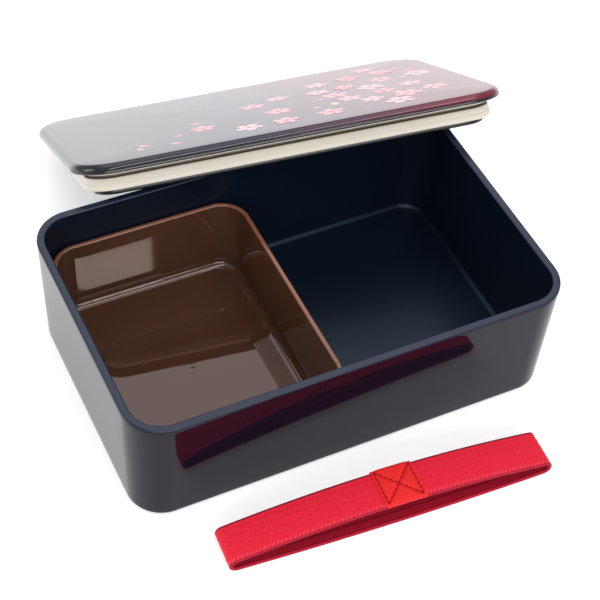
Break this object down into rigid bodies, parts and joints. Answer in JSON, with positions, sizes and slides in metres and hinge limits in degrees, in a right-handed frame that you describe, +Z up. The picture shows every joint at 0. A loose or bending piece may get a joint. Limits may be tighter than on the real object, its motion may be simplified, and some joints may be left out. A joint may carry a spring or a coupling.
{
  "type": "bento lunch box",
  "caption": "Rounded rectangular lunch box with a loose inner tray, a gasketed blossom-printed lid leaning on its rear wall and a sewn elastic belt in front.",
  "frame": {"origin": "centre of the box's flat base, on the table", "axes": "+X along the box's long side, +Y from the belt in front towards the lid behind, +Z up"},
  "size_m": [0.2144, 0.252, 0.0721],
  "materials": {
    "box_body": "gloss lacquer outside, satin inside",
    "inner_tray": "smoky brown translucent plastic, polished",
    "lid_cover": "gloss lacquer shading from black to burgundy, printed with pale blossoms",
    "lid_gasket": "cream silicone rubber",
    "belt_webbing": "ribbed woven elastic",
    "belt_join_tab": "plain woven tape",
    "belt_stitching": "polyester thread"
  },
  "bodies": {
    "box": {"box_body": "box_body"},
    "tray": {"inner_tray": "inner_tray"},
    "lid": {"lid_cover": "lid_cover", "lid_gasket": "lid_gasket"},
    "belt": {"belt_webbing": "belt_webbing", "belt_join_tab": "belt_join_tab", "belt_stitching": "belt_stitching"}
  },
  "joints": [
    {"name": "tray_slide", "type": "slide", "parent": "box", "child": "tray", "axis": [1, 0, 0], "range_m": [0, 0.086]},
    {"name": "lid_lift", "type": "slide", "parent": "box", "child": "lid", "axis": [0, 0, 1], "range_m": [0, 0.12]},
    {"name": "belt_lift", "type": "slide", "parent": "box", "child": "belt", "axis": [0, 0, 1], "range_m": [0, 0.08]}
  ]
}
